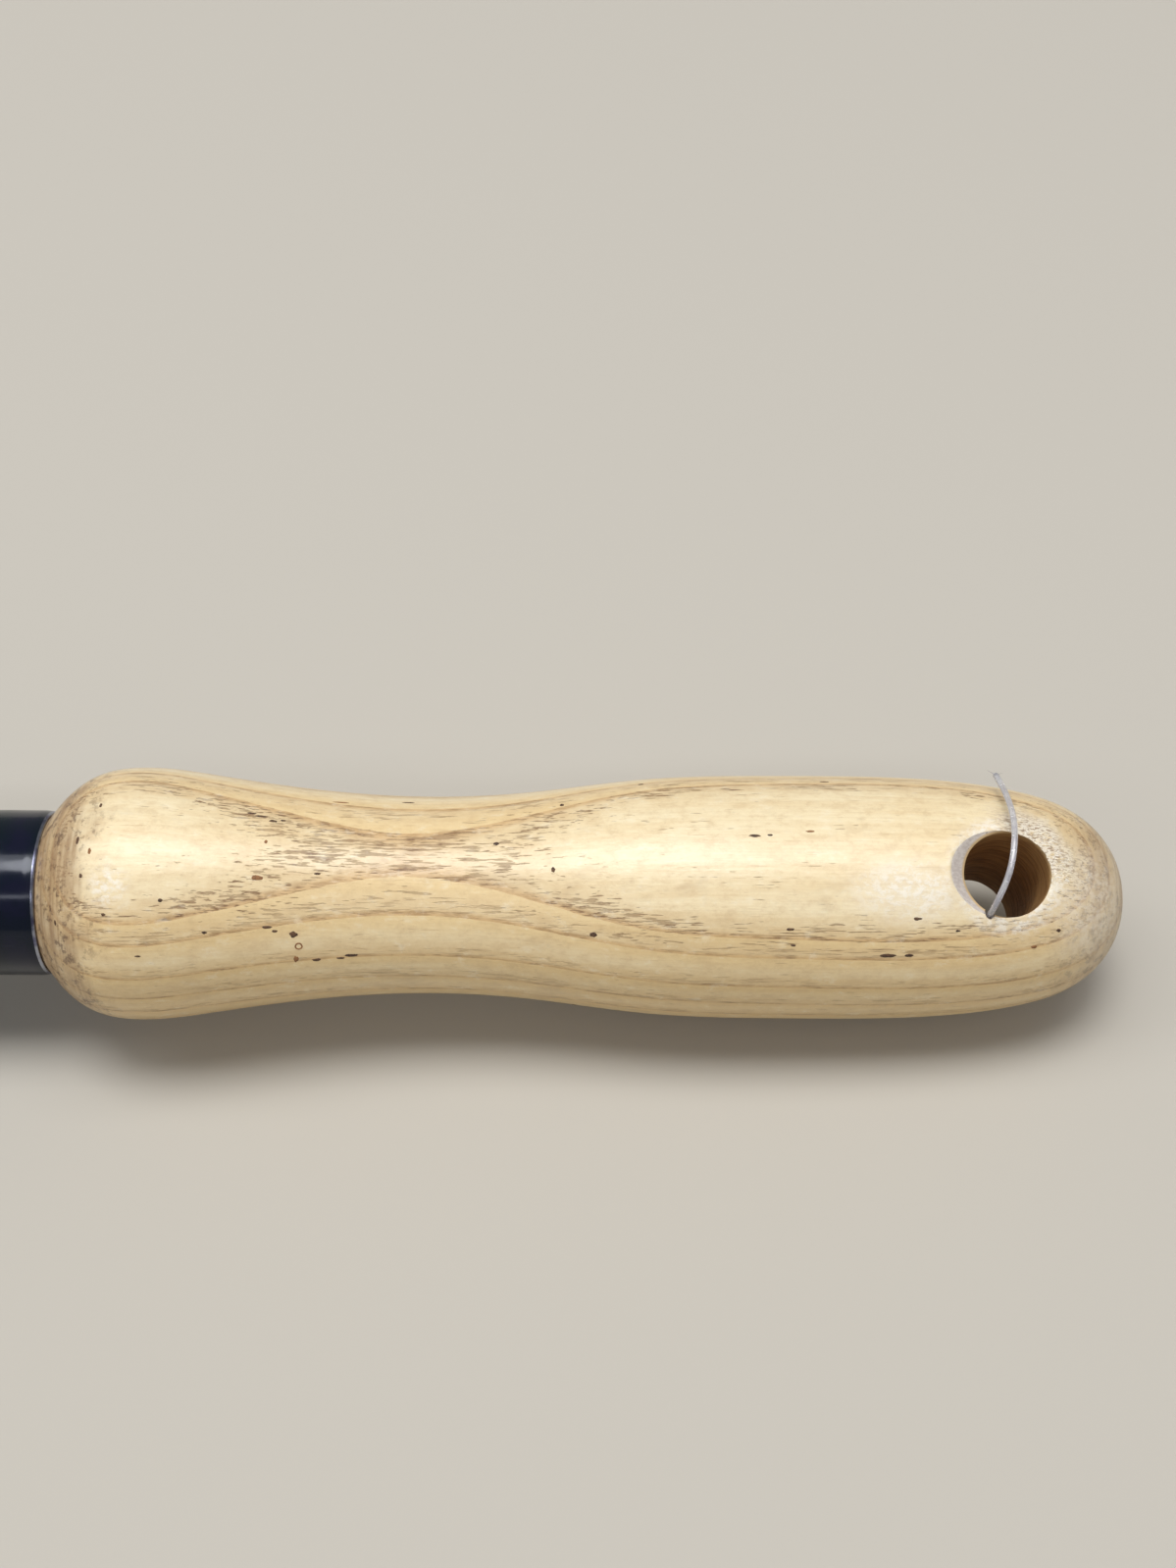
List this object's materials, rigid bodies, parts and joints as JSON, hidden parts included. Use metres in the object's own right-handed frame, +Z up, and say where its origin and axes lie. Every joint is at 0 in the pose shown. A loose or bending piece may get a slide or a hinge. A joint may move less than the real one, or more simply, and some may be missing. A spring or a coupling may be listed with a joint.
{
  "type": "carpet sweeper",
  "caption": "Push-along carpet sweeper: pressed case with wheels, a rotary brush and drop-down dust pans, and a long swinging handle with a turned wooden grip.",
  "frame": {"origin": "on the floor, under the centre of the whole object's bounding box, with the handle laid down", "axes": "+X runs from the sweeping head to the grip, +Y lies along the brush, +Z is up"},
  "size_m": [1.2748, 0.3496, 0.113],
  "materials": {
    "enamel": "glossy stoved enamel, dark blue",
    "bumper_rubber": "satin black rubber",
    "chrome_trim": "bright plated",
    "zinc_sheet": "zinc-plated sheet",
    "bright_steel": "bright steel",
    "spring_steel": "oiled spring steel",
    "bearing_bronze": "oil-soaked bronze",
    "core_wood": "plain turned wood",
    "drum_wood": "varnished turned wood",
    "bristle": "stiff natural bristle",
    "pan_paint": "black japanned sheet",
    "button_plastic": "ivory moulded plastic",
    "blued_tube": "glossy blue-black finish with a teal and purple sheen",
    "grip_wood": "pale ash, thinly varnished and worn",
    "wheel_steel": "grey painted steel",
    "tyre_rubber": "black rubber",
    "nylon": "clear, slightly cloudy nylon"
  },
  "bodies": {
    "case": {"case_cover": "enamel", "bumper": "bumper_rubber", "button_escutcheon": "chrome_trim", "trim_strips": "chrome_trim", "bristle_comb": "zinc_sheet", "comb_rivets": "bright_steel", "frame_left": "zinc_sheet", "frame_right": "zinc_sheet", "frame_spacers": "zinc_sheet", "frame_rivets": "bright_steel", "pivot_stud_left": "chrome_trim", "pivot_stud_right": "chrome_trim", "wheel_spring_left": "spring_steel", "wheel_spring_right": "spring_steel", "strip_rivets": "bright_steel", "wheel_axles": "bright_steel", "axle_clips": "spring_steel", "brush_bearing_left": "bearing_bronze", "brush_bearing_right": "bearing_bronze", "pan_rod_front": "bright_steel", "pan_rod_rear": "bright_steel", "return_springs": "spring_steel", "pan_spring_front": "spring_steel", "pan_spring_rear": "spring_steel"},
    "brush": {"brush_core": "core_wood", "brush_spindle": "bright_steel", "bristle_rows": "bristle", "drive_drum_left": "drum_wood", "drive_drum_right": "drum_wood"},
    "pan_front": {"pan_front": "pan_paint"},
    "pan_rear": {"pan_rear": "pan_paint"},
    "dump_button": {"dump_button": "button_plastic", "dump_yoke": "zinc_sheet", "button_screws": "bright_steel"},
    "handle": {"bail": "chrome_trim", "handle_socket": "chrome_trim", "socket_screw": "bright_steel", "lower_tube": "blued_tube", "tube_coupling_lower": "chrome_trim", "middle_tube": "blued_tube", "tube_coupling_upper": "chrome_trim", "upper_tube": "blued_tube", "grip": "grip_wood", "grip_brad": "bright_steel", "tag_filament": "nylon"},
    "wheel_front_left": {"wheel_front_left": "wheel_steel", "tyre_front_left": "tyre_rubber"},
    "wheel_rear_left": {"wheel_rear_left": "wheel_steel", "tyre_rear_left": "tyre_rubber"},
    "wheel_front_right": {"wheel_front_right": "wheel_steel", "tyre_front_right": "tyre_rubber"},
    "wheel_rear_right": {"wheel_rear_right": "wheel_steel", "tyre_rear_right": "tyre_rubber"}
  },
  "joints": [
    {"name": "handle_swing", "type": "hinge", "parent": "case", "child": "handle", "pos_m": [-0.51438, 0, 0.062], "axis": [0, -1, 0], "range_deg": [0, 175.1]},
    {"name": "brush_spin", "type": "hinge", "parent": "case", "child": "brush", "pos_m": [-0.51438, 0, 0.041], "axis": [0, 1, 0], "continuous": true},
    {"name": "wheel_front_left_roll", "type": "hinge", "parent": "case", "child": "wheel_front_left", "pos_m": [-0.55641, -0.129, 0.027], "axis": [0, 1, 0], "continuous": true},
    {"name": "wheel_rear_left_roll", "type": "hinge", "parent": "case", "child": "wheel_rear_left", "pos_m": [-0.47235, -0.129, 0.027], "axis": [0, 1, 0], "continuous": true},
    {"name": "wheel_front_right_roll", "type": "hinge", "parent": "case", "child": "wheel_front_right", "pos_m": [-0.55641, 0.129, 0.027], "axis": [0, 1, 0], "continuous": true},
    {"name": "wheel_rear_right_roll", "type": "hinge", "parent": "case", "child": "wheel_rear_right", "pos_m": [-0.47235, 0.129, 0.027], "axis": [0, 1, 0], "continuous": true},
    {"name": "dump_press", "type": "slide", "parent": "case", "child": "dump_button", "axis": [0, 0, -1], "range_m": [0, 0.008], "stiffness_N_per_m": 400, "springref_m": -0.02, "deforming": ["return_springs"]},
    {"name": "pan_front_drop", "type": "hinge", "parent": "case", "child": "pan_front", "pos_m": [-0.61838, 0, 0.022], "axis": [0, 1, 0], "range_deg": [0, 40.05], "stiffness_Nm_per_rad": 0.3, "springref_deg": -34.38, "deforming": ["pan_spring_front"]},
    {"name": "pan_rear_drop", "type": "hinge", "parent": "case", "child": "pan_rear", "pos_m": [-0.41038, 0, 0.022], "axis": [0, -1, 0], "range_deg": [0, 40.05], "stiffness_Nm_per_rad": 0.3, "springref_deg": -34.38, "deforming": ["pan_spring_rear"]}
  ],
  "couplings": [
    {"joint": "wheel_front_left_roll", "follows": "brush_spin", "ratio": -0.62963},
    {"joint": "wheel_rear_left_roll", "follows": "brush_spin", "ratio": -0.62963},
    {"joint": "wheel_front_right_roll", "follows": "brush_spin", "ratio": -0.62963},
    {"joint": "wheel_rear_right_roll", "follows": "brush_spin", "ratio": -0.62963},
    {"joint": "pan_front_drop", "follows": "dump_press", "rad_per_m": 87.26},
    {"joint": "pan_rear_drop", "follows": "dump_press", "rad_per_m": 87.26}
  ]
}
